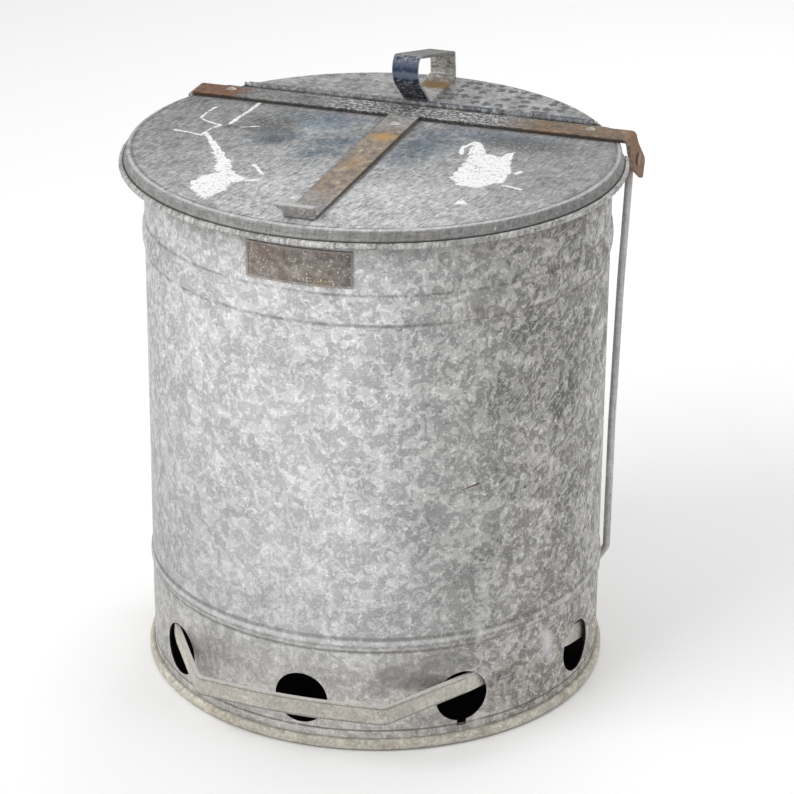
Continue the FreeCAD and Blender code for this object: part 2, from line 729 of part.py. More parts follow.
def make_pedal_bar():
    points, radii = pedal_plan()
    plan = bent_strip(points, radii, pedal_bar_thickness, centred=True)
    bar = plan.extrude(Vector(0, 0, 2 * vent_height))
    half_height = pedal_bar_height / 2
    eye_y = rod_y - open_pivot_shift
    eye_z = rod_pin_z - open_pivot_shift
    crossing_y = -body_radius * math.cos(math.radians(crossing_angle))
    heights = [(-body_radius - 2 * pedal_reach, vent_height + pedal_front_rise),
               (crossing_y, vent_height + pedal_crossing_rise),
               (pivot_y - pedal_slope_reach, vent_height + pedal_front_rise),
               (pivot_y, pivot_z), (eye_y, eye_z)]
    band = bent_strip(heights, [0, 2 * pedal_arm_radius, pedal_arm_radius, pedal_arm_radius, 0],
                      pedal_bar_height, centred=True)
    reach = body_radius
    side_view = across(band, -reach, reach).fuse(bar_along_x(half_height, -reach, reach, eye_y, eye_z))
    bar = bar.common(side_view)
    pivot_hole = bar_along_x(pivot_pin_diameter / 2 + running_gap, -reach, reach, pivot_y, pivot_z)
    eye_hole = bar_along_x(rod_radius + open_pivot_play, -reach, reach, eye_y, eye_z)
    return bar.cut([pivot_hole, eye_hole]).removeSplitter()


def make_pedal_pivot(side):
    """Headed pin through the wall and the pedal's arm."""
    head_seat = math.sqrt(body_radius ** 2 - (pivot_y - pivot_head_diameter / 2) ** 2) + seat_gap
    inner_end = pivot_x - arm_half - 2 * moving_gap
    shank = pivot_pin_diameter / 2
    pin = headed_pin(Vector(head_seat, pivot_y, pivot_z), Vector(1, 0, 0), head_seat - inner_end, shank,
                     pivot_head_diameter / 2, pivot_head_height, shank * 1.4, 1.6)
    return pin if side > 0 else pin.mirror(Vector(), Vector(1, 0, 0))


def make_pivot_spacers():
    """Washers that hold the arms off the wall."""
    outer = pivot_pin_diameter
    inner = pivot_pin_diameter / 2 + running_gap
    arm_face = pivot_x + arm_half + seat_gap
    tube = bar_along_x(outer, arm_face, arm_face + spacer_length, pivot_y, pivot_z)
    wall = Part.makeCylinder(wall_inside - seat_gap, 4 * outer, Vector(0, 0, pivot_z - 2 * outer))
    tube = tube.common(wall).cut(bar_along_x(inner, 0, body_radius, pivot_y, pivot_z))
    return [tube, tube.mirror(Vector(), Vector(1, 0, 0))]


# ---------------------------------------------------------------- rating plate
def ring_sector(inner, outer, low, high, from_angle, to_angle):
    section = outline([(inner, low), (outer, low), (outer, high), (inner, high)], [0, 0, 0, 0])
    return turned(section, from_angle, to_angle - from_angle)


def make_label_plate():
    """Bare plate with a raised border."""
    inner = body_radius + seat_gap
    face = inner + plate_sheet
    high = body_height - plate_drop
    low = high - plate_height
    frame = ring_sector(inner, face + plate_border_proud, low, high, plate_from_angle, plate_to_angle)
    border_angle = math.degrees(plate_border / body_radius)
    pocket = ring_sector(face, face + 2 * plate_border_proud, low + plate_border, high - plate_border,
                         plate_from_angle + border_angle, plate_to_angle - border_angle)
    return frame.cut(pocket)


def save(name, pieces):
    shape = Part.makeCompound(pieces) if isinstance(pieces, list) else pieces
    shape.exportStep("parts/" + name + ".step")
    print(name, len(shape.Solids), "solids", round(shape.Volume), "mm3", shape.isValid())


save("body_shell", make_body_shell())
save("base_hoop", make_base_hoop())
save("foot_wire", make_foot_wire())
save("bottom_pan", make_bottom_pan())
save("rear_cover", make_rear_cover())
save("rear_cover_rivets", make_skirt_rivets())
save("hinge_pin", make_hinge_pin())
save("carry_handle", make_carry_handle())
save("handle_rivets", make_handle_rivets())
save("label_plate", make_label_plate())
save("pedal_pivot_left", make_pedal_pivot(-1))
save("pedal_pivot_right", make_pedal_pivot(1))
save("pivot_spacers", make_pivot_spacers())
save("front_lid", make_front_lid())
save("lid_rim_wire", make_lid_rim_wire())
save("crossbar", make_crossbar())
save("crossbar_rivets", make_crossbar_rivets())
save("lid_strap", make_lid_strap())
save("lid_strap_rivet", make_lid_strap_rivet())
save("lift_rod_left", make_lift_rod(-1))
save("lift_rod_right", make_lift_rod(1))
save("pedal_bar", make_pedal_bar())
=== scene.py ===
import math

import bmesh
import bpy
from mathutils import Matrix, Vector


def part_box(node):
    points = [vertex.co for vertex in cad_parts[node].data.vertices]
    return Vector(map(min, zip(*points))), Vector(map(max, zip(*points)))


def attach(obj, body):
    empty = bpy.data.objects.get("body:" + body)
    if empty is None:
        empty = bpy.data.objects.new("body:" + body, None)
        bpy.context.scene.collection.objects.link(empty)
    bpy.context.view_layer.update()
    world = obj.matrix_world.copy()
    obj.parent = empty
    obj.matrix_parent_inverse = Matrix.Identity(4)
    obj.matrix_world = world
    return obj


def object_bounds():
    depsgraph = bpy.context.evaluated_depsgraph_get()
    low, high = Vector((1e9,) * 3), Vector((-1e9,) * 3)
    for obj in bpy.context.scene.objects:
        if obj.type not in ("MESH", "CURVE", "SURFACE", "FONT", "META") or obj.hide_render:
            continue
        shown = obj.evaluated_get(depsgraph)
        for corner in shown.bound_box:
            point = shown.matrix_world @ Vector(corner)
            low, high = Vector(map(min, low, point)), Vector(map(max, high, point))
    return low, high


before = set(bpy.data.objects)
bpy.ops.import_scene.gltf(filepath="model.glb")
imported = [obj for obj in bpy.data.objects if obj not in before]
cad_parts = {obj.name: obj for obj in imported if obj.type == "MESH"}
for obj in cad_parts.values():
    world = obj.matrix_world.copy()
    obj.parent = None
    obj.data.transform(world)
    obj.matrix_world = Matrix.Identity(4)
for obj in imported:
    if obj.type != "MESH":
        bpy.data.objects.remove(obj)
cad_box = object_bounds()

# Looks of a foot-operated galvanized waste can. Metres, in the same frame as the solids:
# origin on the can's axis at the floor, +Z up, front towards -Y.
MM = 0.001

# ---------------------------------------------------------------- sizes read from the solids
LOW, HIGH = (Vector(corner) for corner in cad_box)
PLATE_LOW, PLATE_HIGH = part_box("label_plate")
BAR_LOW, BAR_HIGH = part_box("crossbar")
STRAP_LOW, STRAP_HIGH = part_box("lid_strap")
PIN_LOW, PIN_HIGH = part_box("hinge_pin")
HINGE_Y = (PIN_LOW.y + PIN_HIGH.y) / 2
RIM_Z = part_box("body_shell")[1].z
PAN_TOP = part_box("bottom_pan")[1].z
HOOP_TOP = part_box("base_hoop")[1].z
BEAD_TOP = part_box("front_lid")[0].z + 4.9 * MM  # the lid's flange starts on its rolled bead
LID_TOP = STRAP_LOW.z / MM                      # millimetres, for blot()

# ---------------------------------------------------------------- sizes that follow the solids' source
WALL = 190.5 * MM                               # radius
UPPER_SWAGE = RIM_Z - 68.6 * MM                 # heights of the middle of each swage
LOWER_SWAGE = 94.5 * MM
LID_X, LID_Y = -2.5 * MM, -3.5 * MM             # middle of the lid's round edge
LID_REAR = 61.0 * MM                            # the lid's flange ends here
BEAD_RADIUS = 202.9 * MM                        # where the flange meets the bead
PEDAL_LINES = 45.0 * MM, 58.7 * MM              # heights of the painted shade lines on the pedal bar's front
HANDLE_FLOOR = 459.5 * MM                       # just above the strip that lies on the cover
HANDLE_MIDDLE = 474 * MM                        # the loop's upper half starts here

# ---------------------------------------------------------------- camera, fitted to the photograph
CAMERA_PLACE = Vector((0.7215, -2.1621, 1.2322))
CAMERA_RIGHT = Vector((0.9536, 0.3009, 0.0134))
CAMERA_UP = Vector((-0.1287, 0.3669, 0.9213))
IMAGE_SIDE = 794
FOCAL_PIXELS = 2965.5
AXIS_PIXEL = (437.9, 350.2)     # where the lens axis meets the picture
SENSOR = 36.0                   # millimetres

# ---------------------------------------------------------------- directions and colours
UP, DOWN = (0.0, 0.0, 1.0), (0.0, 0.0, -1.0)
FRONT, REAR, RIGHT = (0.0, -1.0, 0.0), (0.0, 1.0, 0.0), (1.0, 0.0, 0.0)
BLACK = (0.0, 0.0, 0.0)
SPLASH_WHITE = (0.80, 0.81, 0.80)
# near black of the painted shade inside the can, below the pan and under it
INSIDE_SHADE = (0.0066, 0.006, 0.0051)
FRAY = 0.4 * MM                 # half width of a stroke's soft edge
LID_BRUSHING = -12              # degrees from the lid's front-to-back line
DARKEST = 0.25                  # least brightness that spangle() gives


# ---------------------------------------------------------------- node trees
class Tree:
    """A material's node tree. Each call adds one node and gives back its main output."""

    def __init__(self, name):
        self.material = bpy.data.materials.new(name)
        self.material.use_nodes = True
        self.tree = self.material.node_tree
        self.shader = self.tree.nodes["Principled BSDF"]
        self.place = self.add("ShaderNodeTexCoord").outputs["Object"]

    def add(self, kind, inputs=(), **settings):
        node = self.tree.nodes.new(kind)
        for name, value in settings.items():
            setattr(node, name, value)
        for key, value in dict(inputs).items():
            self.put(node.inputs[key], value)
        return node

    def put(self, socket, value):
        if isinstance(value, bpy.types.NodeSocket):
            self.tree.links.new(value, socket)
        elif socket.type == "RGBA" and len(value) == 3:
            socket.default_value = (*value, 1)
        else:
            socket.default_value = value

    def math(self, operation, first, second=0.0):
        return self.add("ShaderNodeMath", {0: first, 1: second}, operation=operation).outputs[0]

    def vector_math(self, operation, first, second=BLACK):
        return self.add("ShaderNodeVectorMath", {0: first, 1: second}, operation=operation)

    def remap(self, value, low, high, to_low=0.0, to_high=1.0):
        inputs = {"Value": value, "From Min": low, "From Max": high, "To Min": to_low, "To Max": to_high}
        return self.add("ShaderNodeMapRange", inputs).outputs["Result"]

    def mix(self, factor, first, second, blend="MIX"):
        """Colour mix: in this node the sockets 6, 7 and output 2 are the colours'."""
        node = self.add("ShaderNodeMix", data_type="RGBA", blend_type=blend)
        for socket, value in ((0, factor), (6, first), (7, second)):
            self.put(node.inputs[socket], value)
        return node.outputs[2]

    def tint(self, first, second):
        """Product of two colours, or of a colour and a brightness."""
        return self.mix(1.0, first, second, "MULTIPLY")

    def total(self, *terms):
        """Sum of weight * value over (value, weight) pairs."""
        result = 0.0
        for value, weight in terms:
            node = self.add("ShaderNodeMath", {0: value, 1: weight, 2: result}, operation="MULTIPLY_ADD")
            result = node.outputs[0]
        return result

    def noise(self, size, detail, roughness, distortion=0.0, place=None, stretch=None, slant=0.0):
        """Cloud noise whose features are about `size` metres across; slant in degrees about Z."""
        place = self.place if place is None else place
        if stretch:
            place = self.local(place, BLACK, stretch, (0, 0, math.radians(slant)))
        inputs = {"Vector": place, "Scale": 1 / size, "Detail": detail, "Roughness": roughness,
                  "Distortion": distortion}
        return self.add("ShaderNodeTexNoise", inputs).outputs["Fac"]

    def ramp(self, value, *stops):
        node = self.add("ShaderNodeValToRGB", {"Fac": value})
        elements = node.color_ramp.elements
        while len(elements) < len(stops):
            elements.new(0.5)
        for element, (position, colour) in zip(elements, stops):
            element.position = position
            element.color = (*colour, 1)
        return node.outputs["Color"]

    def curve(self, value, *points):
        """Piecewise straight function of a value, through (value, result) points in rising order."""
        first, last = points[0][0], points[-1][0]
        spread = self.remap(value, first, last)
        return self.ramp(spread, *[((x - first) / (last - first), (y, y, y)) for x, y in points])

    def local(self, place, centre, half_size, turn=(0, 0, 0)):
        """Place measured from a centre, turned back and in units of a half size."""
        inputs = {"Vector": place, "Location": centre, "Rotation": turn, "Scale": half_size}
        return self.add("ShaderNodeMapping", inputs, vector_type="TEXTURE").outputs["Vector"]

    def part_of(self, axis, place=None):
        place = self.place if place is None else place
        return self.add("ShaderNodeSeparateXYZ", {"Vector": place}).outputs["XYZ".index(axis)]

    def combined(self, x, y, z=0.0):
        return self.add("ShaderNodeCombineXYZ", {"X": x, "Y": y, "Z": z}).outputs["Vector"]

    def angle(self):
        """Degrees round the can's axis: 0 in front, 90 on the right."""
        behind = self.math("MULTIPLY", self.part_of("Y"), -1.0)
        return self.math("MULTIPLY", self.math("ARCTAN2", self.part_of("X"), behind), 180 / math.pi)

    def unrolled(self):
        """Place on the wall rolled out flat: along the wall, and up."""
        return self.combined(self.math("MULTIPLY", self.angle(), WALL * math.pi / 180), self.part_of("Z"))

    def facing(self, direction):
        """How far the surface faces a direction, from -1 to 1."""
        normal = self.add("ShaderNodeNewGeometry").outputs["Normal"]
        return self.vector_math("DOT_PRODUCT", normal, direction).outputs["Value"]

    def band(self, value, middle, half_width, soft=None):
        """Mask of a stripe round a value."""
        soft = half_width if soft is None else soft
        away = self.math("ABSOLUTE", self.math("SUBTRACT", value, middle))
        return self.remap(away, half_width + soft, half_width)

    def ragged(self, amount, grain):
        """Noise of both signs, as large as `amount`, that frays an edge."""
        return self.math("MULTIPLY", self.math("SUBTRACT", self.noise(grain, 5.0, 0.65), 0.5), 4 * amount)

    def blot(self, centre, half_size, turn, ragged, grain, soft, tilt=0.0):
        """Mask of a ragged patch: 1 inside an ellipsoid round the centre.

        Centre, half size and grain are in millimetres, turn (about Z) and tilt (about X) in degrees.
        """
        centre = [part * MM for part in centre]
        half_size = [part * MM for part in half_size]
        local = self.local(self.place, centre, half_size, (math.radians(tilt), 0, math.radians(turn)))
        distance = self.vector_math("LENGTH", local).outputs["Value"]
        return self.remap(self.math("ADD", distance, self.ragged(ragged, grain * MM)), 1.0, 1.0 - soft)

    def flat_place(self):
        """Place seen from above, at height 0."""
        return self.combined(self.part_of("X"), self.part_of("Y"))

    def stroke(self, start, end, half_width, edge):
        """Mask of a straight stroke on the lid, seen from above, with a frayed edge."""
        middle = ((start[0] + end[0]) / 2, (start[1] + end[1]) / 2, 0)
        turn = math.atan2(end[1] - start[1], end[0] - start[0])
        local = self.local(self.flat_place(), middle, (1, 1, 1), (0, 0, turn))
        half_length = math.dist(start, end) / 2
        beyond = self.math("SUBTRACT", self.math("ABSOLUTE", self.part_of("X", local)), half_length)
        off = self.combined(self.math("MAXIMUM", beyond, 0.0), self.part_of("Y", local))
        distance = self.vector_math("LENGTH", off).outputs["Value"]
        return self.remap(self.math("ADD", distance, edge), half_width + FRAY, half_width - FRAY)

    def trail(self, points, half_width, edge):
        """Mask of a bent line of strokes on the lid; points and half width in millimetres."""
        places = [(x * MM, y * MM) for x, y in points]
        pairs = zip(places, places[1:])
        return self.any_of([self.stroke(start, end, half_width * MM, edge) for start, end in pairs])

    def patch(self, points, edge):
        """Mask of a convex patch on the lid, corners in millimetres and anticlockwise from above."""
        place = self.flat_place()
        outside = -1.0
        for (x, y), (next_x, next_y) in zip(points, points[1:] + points[:1]):
            outward = Vector((next_y - y, x - next_x, 0)).normalized()
            along = self.vector_math("DOT_PRODUCT", place, outward).outputs["Value"]
            beyond = self.math("SUBTRACT", along, (x * outward.x + y * outward.y) * MM)
            outside = self.math("MAXIMUM", outside, beyond)
        return self.remap(self.math("ADD", outside, edge), FRAY, -FRAY)

    def any_of(self, masks):
        """The strongest of some masks."""
        total = masks[0]
        for mask in masks[1:]:
            total = self.math("MAXIMUM", total, mask)
        return total

    def times(self, *factors):
        """Product of numbers."""
        result = factors[0]
        for factor in factors[1:]:
            result = self.math("MULTIPLY", result, factor)
        return result

    def finish(self, colour, roughness, metallic, bump=None, bump_height=0.05 * MM):
        """Joins the looks to the shader and gives the material back."""
        self.put(self.shader.inputs["Base Color"], colour)
        self.put(self.shader.inputs["Roughness"], roughness)
        self.put(self.shader.inputs["Metallic"], metallic)
        if bump is not None:
            node = self.add("ShaderNodeBump", {"Height": bump, "Distance": bump_height, "Strength": 1.0})
            self.put(self.shader.inputs["Normal"], node.outputs["Normal"])
        return self.material


def grey(value, warmth=0.0):
    """A near-grey colour: warmth above 0 leans to brown, below 0 to blue."""
    return (value * (1 + warmth), value, value * (1 - 1.5 * warmth))


def spangle(t, size=1.0, frost=1.0, fleck=1.0, contrast=1.0):
    """Weathered zinc as a brightness round 1: frosted patches, flecks, pits, grain and clouds."""
    large = t.remap(t.noise(14 * MM * size, 6.0, 0.62, 1.2), 0.505, 0.525)
    small = t.remap(t.noise(6.0 * MM * size, 5.0, 0.62, 0.8), 0.54, 0.56)
    flecks = t.remap(t.noise(2.6 * MM * size, 3.0, 0.55), 0.61, 0.64)
    pits = t.remap(t.noise(4.5 * MM * size, 5.0, 0.66), 0.40, 0.38)
    grain = t.noise(1.6 * MM * size, 3.0, 0.75)
    clouds = t.noise(45 * MM * size, 5.0, 0.6)
    from_mean = t.total((large, 0.38 * frost), (small, 0.36 * frost), (flecks, 0.52 * fleck),
                        (pits, -0.24 * fleck), (grain, 0.75), (clouds, 1.0), (1.0, -0.885 - 0.28 * frost))
    return t.math("MAXIMUM", t.total((from_mean, contrast), (1.0, 1.0)), DARKEST)


def body_base(t, value):
    """Zinc with painted light and shade round the wall: a lit side, darker sides that change lower down,
    and a painted shaded patch on the right.
    """
    angle = t.angle()
    height = t.part_of("Z")
    # painted light and shade: brightness round the wall, with a second spread low down
    tone = t.curve(angle, (-180, 0.42), (-75, 0.43), (-50, 0.405), (-20, 0.50), (12, 0.56), (30, 0.41),
                   (45, 0.38), (72, 0.31), (95, 0.37), (180, 0.42))
    low_tone = t.curve(angle, (-180, 0.40), (-75, 0.43), (-48, 0.34), (10, 0.52), (32, 0.39),
                       (45, 0.32), (72, 0.32), (95, 0.36), (180, 0.40))
    tone = t.mix(t.remap(height, 300 * MM, 120 * MM), tone, low_tone)
    shaded = t.times(t.band(angle, 60, 12, 14), t.remap(height, 190 * MM, 280 * MM), 0.14)
    tone = t.mix(shaded, tone, BLACK)
    warm = t.ramp(t.remap(angle, 20, 60), (0.0, grey(1.0, 0.0)), (1.0, grey(1.0, 0.022)))
    return t.tint(tone, t.tint(warm, value))


def body_brushing(t, colour):
    """Slanted brush marks high on the right and pale streaks on the left."""
    angle = t.angle()
    height = t.part_of("Z")
    wall = t.unrolled()
    right = t.band(angle, 74, 16, 14)
    upper = t.band(height, 300 * MM, 90 * MM, 80 * MM)
    brushed = t.remap(t.noise(1.6 * MM, 3.0, 0.6, 0.0, wall, (9, 1, 1), 42), 0.56, 0.66)
    colour = t.mix(t.times(brushed, right, upper, 0.7), colour, grey(0.60, 0.01))
    left = t.remap(angle, -30, -50)
    streaks = t.remap(t.noise(1.8 * MM, 4.0, 0.65, 0.0, wall, (1, 6, 1), -14), 0.54, 0.64)
    return t.mix(t.times(streaks, left, 0.5), colour, grey(0.72))


def body_shade_and_skirt(t, colour):
    """Painted shadow under the lid, painted shade and a painted highlight at the swages, a dark line
    above the hoop, and a warmer skirt.
    """
    angle = t.angle()
    height = t.part_of("Z")
    skirt = t.remap(height, 100 * MM, 50 * MM)
    colour = t.mix(skirt, colour, t.tint(colour, grey(1.02, 0.03)))
    broken = t.remap(t.noise(22 * MM, 5.0, 0.7), 0.36, 0.56)
    upper_lines = t.any_of([t.band(height, UPPER_SWAGE - 12.2 * MM, 0.7 * MM, 1.5 * MM),
                            t.band(height, UPPER_SWAGE + 12.6 * MM, 0.5 * MM, 1.2 * MM)])
    lower_lines = t.any_of([t.band(height, LOWER_SWAGE - 6.0 * MM, 0.8 * MM, 1.4 * MM),
                            t.band(height, LOWER_SWAGE + 5.6 * MM, 0.8 * MM, 1.4 * MM),
                            t.times(t.band(height, LOWER_SWAGE - 1.0 * MM, 0.6 * MM, 1.2 * MM), 0.6)])
    # painted shadow under the lid, painted shade in the swage creases, and a dark line just above the
    # hoop
    darkening = t.any_of([
        t.times(upper_lines, broken, 0.55),
        t.times(lower_lines, t.remap(angle, 30, 70, 0.5, 0.25)),
        t.times(t.remap(height, RIM_Z - 34 * MM, RIM_Z - 12 * MM), 0.42),           # painted shadow under the lid
        t.times(t.band(height, HOOP_TOP + 0.8 * MM, 0.5 * MM, 0.8 * MM), 0.7),
    ])
    colour = t.mix(darkening, colour, (0.085, 0.072, 0.060))
    # painted highlight on the lower swage's crest
    crest_highlight = t.times(t.band(height, LOWER_SWAGE + 2.4 * MM, 0.8 * MM, 1.6 * MM), broken, 0.4)
    return t.mix(crest_highlight, colour, grey(0.62))


def body_marks(t, colour):
    """Single marks: smudges over the hoop, a stain, a red scratch, a rubbed place and pale uprights."""
    angle = t.angle()
    height = t.part_of("Z")
    smudge = t.any_of([
        t.blot((82, -172, 66), (24, 40, 13), 24, 0.06, 14, 0.2),
        t.blot((108, -157, 76), (24, 30, 9), 34, 0.06, 12, 0.2),
        t.times(t.blot((62, -180, 54), (12, 20, 14), 20, 0.15, 12, 0.8), 0.6),
    ])
    colour = t.mix(t.times(smudge, 0.5), colour, grey(0.17))
    stain = t.blot((129, -140, 378), (9, 9, 7), 0, 0.4, 8, 0.7)
    scratch = t.blot((127, -142, 229), (11, 11, 0.9), 0, 0.3, 6, 0.5, 20)
    colour = t.mix(t.times(stain, 0.4), colour, (0.16, 0.11, 0.07))
    colour = t.mix(scratch, colour, (0.11, 0.035, 0.025))
    rubbed = t.blot((174, -78, 64), (6, 11, 25), 0, 0.3, 6, 0.6, 20)
    uprights = t.any_of([t.band(angle, -1, 0.25, 0.3), t.band(angle, -4.5, 0.2, 0.3),
                         t.band(angle, 45, 1.2, 1.2)])
    pale_lines = t.times(uprights, t.remap(t.noise(9 * MM, 4.0, 0.7), 0.42, 0.6),
                         t.remap(height, 200 * MM, 130 * MM), 0.45)
    return t.mix(t.math("MAXIMUM", t.times(rubbed, 0.55), pale_lines), colour, grey(0.66))


def galvanized_body():
    """The wall: spangle, painted light and shade and marks outside, and painted shade inside."""
    t = Tree("galvanized_body")
    angle = t.angle()
    height = t.part_of("Z")
    contrast = t.curve(angle, (-180, 1.0), (-60, 0.80), (0, 0.64), (40, 0.94), (180, 1.0))
    contrast = t.times(contrast, t.remap(height, 300 * MM, 120 * MM, 1.0, 0.88),
                       t.remap(angle, 40, 62, 1.0, 1.45))
    value = spangle(t, 1.0, 1.0, 1.0, contrast)
    colour = body_marks(t, body_shade_and_skirt(t, body_brushing(t, body_base(t, value))))

    # painted shade inside the wall: dark grey above the pan, near black below it
    outward = t.vector_math("NORMALIZE", t.flat_place()).outputs["Vector"]
    inside = t.remap(t.facing(outward), 0.3, 0.1)
    above_pan = t.remap(height, PAN_TOP - 2.5 * MM, PAN_TOP + 3.5 * MM)
    painted_inside_shade = t.mix(above_pan, INSIDE_SHADE, t.tint(grey(0.30, 0.05), value))
    below_rim = t.remap(height, RIM_Z - 1.1 * MM, RIM_Z - 2.1 * MM)
    colour = t.mix(t.times(inside, below_rim), colour, painted_inside_shade)
    roughness = t.remap(value, 0.6, 1.5, 0.62, 0.48)
    return t.finish(colour, roughness, 0.2, value, 0.05 * MM)


def shaded_pan():
    """The raised bottom, in painted shade: dark grey where it faces up, near black elsewhere."""
    t = Tree("shaded_pan")
    value = spangle(t)
    above = t.remap(t.facing(UP), 0.2, 0.5)
    # painted shade: dark grey on the faces that look up, near black on the rest
    colour = t.mix(above, INSIDE_SHADE, t.tint(grey(0.26, 0.06), value))
    return t.finish(colour, 0.6, 0.1, value, 0.05 * MM)


def lid_base(t, value):
    """Zinc with painted light and shade: darker at both sides and paler in front."""
    across = t.part_of("X")
    along = t.part_of("Y")
    tone = t.curve(across, (-200 * MM, 0.24), (-120 * MM, 0.25), (-20 * MM, 0.31), (70 * MM, 0.31),
                   (140 * MM, 0.24), (205 * MM, 0.23))
    front_tone = t.curve(across, (-200 * MM, 0.27), (-120 * MM, 0.30), (-40 * MM, 0.39),
                         (60 * MM, 0.42), (130 * MM, 0.33), (205 * MM, 0.26))
    tone = t.mix(t.remap(along, -60 * MM, -130 * MM), tone, front_tone)
    tone = t.tint(tone, t.remap(along, 70 * MM, -60 * MM, 0.80, 1.04))
    return t.tint(tone, t.tint(grey(1.0, -0.006), value))


def lid_stains(t, colour, value):
    """Blue-grey smears, soot, painted shadow beside the strap and the crossbar, scuffs and a dark hinge
    line.
    """
    across = t.part_of("X")
    along = t.part_of("Y")
    smears = t.any_of([
        t.blot((-84, -14, LID_TOP), (24, 30, 30), -30, 0.3, 18, 0.6),
        t.blot((-60, 40, LID_TOP), (44, 28, 30), 6, 0.3, 18, 0.6),
        t.blot((-34, -22, LID_TOP), (24, 56, 30), -20, 0.3, 18, 0.7),
        t.blot((38, 8, LID_TOP), (32, 70, 30), -12, 0.3, 18, 0.7),
        t.blot((86, 46, LID_TOP), (60, 20, 30), 0, 0.35, 18, 0.6),
        t.blot((186, -80, LID_TOP), (8, 30, 30), 12, 0.3, 12, 0.8),
    ])
    uneven = t.remap(t.noise(5 * MM, 5.0, 0.74), 0.32, 0.52)
    colour = t.mix(t.times(smears, uneven, 0.95), colour, t.tint((0.072, 0.101, 0.130), value))
    haze = t.blot((-62, 22, LID_TOP), (30, 34, 30), 0, 0.35, 20, 0.9)
    colour = t.mix(t.times(haze, 0.4), colour, t.tint((0.24, 0.295, 0.335), value))
    soot = t.any_of([
        t.blot((-98, 14, LID_TOP), (30, 36, 30), 30, 0.4, 12, 0.7),
        t.blot((-84, -20, LID_TOP), (12, 14, 30), 0, 0.3, 8, 0.7),
        t.blot((112, 34, LID_TOP), (62, 26, 30), 0, 0.4, 12, 0.7),
        t.blot((-126, -2, LID_TOP), (10, 7, 30), 0, 0.3, 7, 0.6),
    ])
    mottled = t.remap(t.noise(2.6 * MM, 4.0, 0.7), 0.42, 0.50)
    colour = t.mix(t.times(soot, mottled, 0.95), colour, grey(0.055, -0.03))
    patchy = t.remap(t.noise(6 * MM, 5.0, 0.72), 0.40, 0.54)
    beside = t.any_of([             # painted shadow along the strap's two sides and the crossbar's front
        t.times(t.band(across, -14.6 * MM, 1.0 * MM, 3.5 * MM),
                t.remap(along, -150 * MM, -20 * MM), patchy, 0.8),
        t.times(t.band(across, 14.0 * MM, 0.8 * MM, 1.5 * MM), t.remap(along, -200 * MM, -100 * MM), 0.6),
        t.times(t.band(along, BAR_LOW.y - 0.3 * MM, 0.4 * MM, 0.8 * MM), 0.7),
    ])
    colour = t.mix(beside, colour, grey(0.04, 0.02))
    scuffed = t.any_of([
        t.blot((-40, -112, LID_TOP), (42, 30, 30), 30, 0.5, 14, 0.9),
        t.blot((44, -110, LID_TOP), (34, 40, 30), -20, 0.5, 14, 0.9),
    ])
    scuffs = t.times(scuffed, t.remap(t.noise(2.4 * MM, 4.0, 0.7), 0.50, 0.60), 0.6)
    colour = t.mix(scuffs, colour, grey(0.68))
    knuckles = t.times(t.remap(along, HINGE_Y - 4 * MM, HINGE_Y - 3 * MM),
                       t.remap(t.noise(5 * MM, 5.0, 0.7), 0.42, 0.52), 0.55)
    return t.mix(knuckles, colour, grey(0.10, -0.06))


def lid_edge(t, colour, value):
    """The worn edge, the drop flange brushed up and down and darker as painted shade, a line of painted
    shade where it meets the rolled bead, and the bead.
    """
    height = t.part_of("Z")
    radius = t.vector_math("DISTANCE", t.flat_place(), (LID_X, LID_Y, 0)).outputs["Value"]
    broken = t.remap(t.noise(18 * MM, 5.0, 0.7), 0.34, 0.50)
    edge_line = t.times(t.band(radius, 195.6 * MM, 0.5 * MM, 0.9 * MM), broken, 0.65)
    colour = t.mix(edge_line, colour, grey(0.07, 0.03))
    worn_edge = t.times(t.band(radius, 198.6 * MM, 0.7 * MM, 1.2 * MM), broken, 0.5)
    colour = t.mix(worn_edge, colour, grey(0.56, 0.01))
    brushed_down = t.noise(1.1 * MM, 3.0, 0.7, 0.0, t.combined(t.angle(), height), (2400, 1, 1))
    band_value = t.total((brushed_down, 1.6), (value, 0.5), (1.0, -0.3))
    # painted shade: the flange darker than the top
    flange = t.times(t.remap(radius, 199.2 * MM, 200.2 * MM),
                     t.remap(height, BEAD_TOP, BEAD_TOP + 0.4 * MM))
    colour = t.mix(flange, colour, t.tint(grey(0.215, 0.015), band_value))
    bead = t.remap(height, BEAD_TOP + 0.3 * MM, BEAD_TOP)
    colour = t.mix(bead, colour, t.tint(grey(0.37, 0.015), value))
    # painted shade in the groove where the flange meets the bead
    bead_groove_shade = t.times(t.band(radius, BEAD_RADIUS, 0.35 * MM, 0.4 * MM),
                          t.remap(height, BEAD_TOP - 0.6 * MM, BEAD_TOP - 0.2 * MM), 0.85)
    return t.mix(bead_groove_shade, colour, grey(0.04, 0.03))


